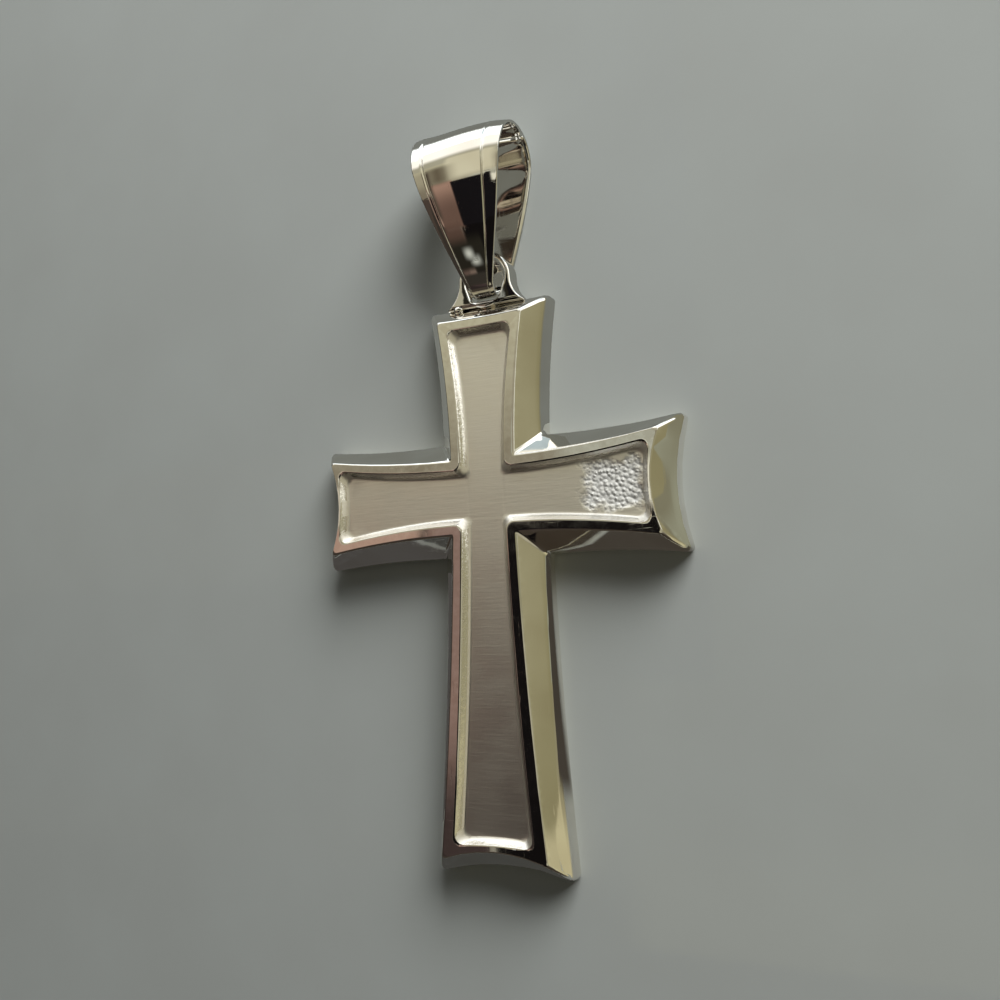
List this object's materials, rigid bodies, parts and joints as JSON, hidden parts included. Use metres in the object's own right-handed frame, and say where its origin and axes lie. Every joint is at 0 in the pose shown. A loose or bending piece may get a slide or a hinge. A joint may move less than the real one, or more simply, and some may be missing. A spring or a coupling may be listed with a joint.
{
  "type": "cross pendant",
  "caption": "Latin cross pendant with flared bevelled arms, a recessed tray, a soldered eye and a loose tapered bail.",
  "frame": {"origin": "centre of the bounding box on the surface that the pendant lies on, under its flat back", "axes": "+X to the viewer's right, +Y from the foot of the cross to the bail, +Z out of the front face"},
  "size_m": [0.0196, 0.0367, 0.0041],
  "materials": {
    "polished_silver": "mirror polished, with a satin brushed tray",
    "bail_silver": "mirror polished"
  },
  "bodies": {
    "root": {"cross_body": "polished_silver", "bail": "bail_silver"}
  },
  "joints": []
}
